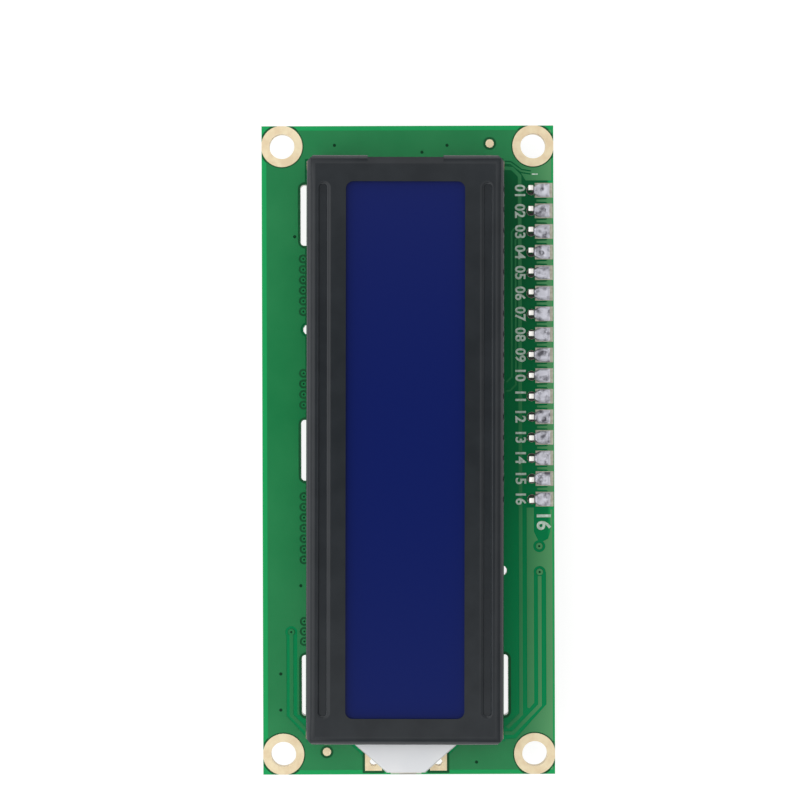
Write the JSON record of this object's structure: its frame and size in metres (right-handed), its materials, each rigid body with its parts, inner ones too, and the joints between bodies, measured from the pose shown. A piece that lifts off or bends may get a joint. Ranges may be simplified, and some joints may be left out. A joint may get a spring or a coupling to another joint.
{
  "type": "character lcd module",
  "caption": "Character display module: a green board carries a black bezel with a long blue window, an edge backlight, a soldered pin header and four corner holes.",
  "frame": {"origin": "centre of the four mounting holes on the board's back face", "axes": "+Z out of the display face, +X along the board away from pin 1, +Y towards the pin header"},
  "size_m": [0.08, 0.036, 0.0141],
  "materials": {
    "solder_mask_green": "satin green solder mask on glass fibre laminate",
    "tinned_copper": "flat pale tin and gold wash on copper",
    "solder": "bright mottled tin solder",
    "pin_metal": "tin plated drawn brass",
    "black_plastic": "moulded black nylon",
    "blackened_steel": "black oxide and lacquer, satin",
    "blue_polarizer": "deep blue film, faint gloss",
    "polarizer_film": "grey film",
    "pane_glass": "clear float glass",
    "seal_epoxy": "cured epoxy",
    "contact_rubber": "layered silicone rubber",
    "clear_acrylic": "cast acrylic",
    "white_film": "white polyester film",
    "led_white": "white moulding",
    "black_epoxy": "poured black epoxy",
    "silicon": "bare silicon",
    "resistor_body": "black glazed ceramic with tin ends",
    "capacitor_body": "brown ceramic with tin ends"
  },
  "bodies": {
    "root": {"backlight_lands": "tinned_copper", "backlight_led": "led_white", "backlight_led_solder": "solder", "bezel": "blackened_steel", "capacitor_1": "capacitor_body", "capacitor_2": "capacitor_body", "capacitor_3": "capacitor_body", "cell_seal": "seal_epoxy", "chip_solder": "solder", "circuit_board": "solder_mask_green", "contact_strip_far_side": "contact_rubber", "contact_strip_header_side": "contact_rubber", "controller_die": "silicon", "controller_epoxy_dome": "black_epoxy", "diffuser_film": "white_film", "driver_die": "silicon", "driver_epoxy_dome": "black_epoxy", "front_glass": "pane_glass", "front_polarizer": "blue_polarizer", "header_lands": "tinned_copper", "header_pin_01": "pin_metal", "header_pin_02": "pin_metal", "header_pin_03": "pin_metal", "header_pin_04": "pin_metal", "header_pin_05": "pin_metal", "header_pin_06": "pin_metal", "header_pin_07": "pin_metal", "header_pin_08": "pin_metal", "header_pin_09": "pin_metal", "header_pin_10": "pin_metal", "header_pin_11": "pin_metal", "header_pin_12": "pin_metal", "header_pin_13": "pin_metal", "header_pin_14": "pin_metal", "header_pin_15": "pin_metal", "header_pin_16": "pin_metal", "header_solder": "solder", "header_strip": "black_plastic", "light_guide": "clear_acrylic", "mounting_hole_platings": "tinned_copper", "rear_glass": "pane_glass", "rear_polarizer": "polarizer_film", "reflector_film": "white_film", "registration_marks": "tinned_copper", "resistor_1": "resistor_body", "resistor_2": "resistor_body", "resistor_3": "resistor_body", "resistor_4": "resistor_body", "resistor_5": "resistor_body", "resistor_6": "resistor_body", "resistor_7": "resistor_body", "resistor_8": "resistor_body", "tongue_cover_film": "white_film"}
  },
  "joints": []
}
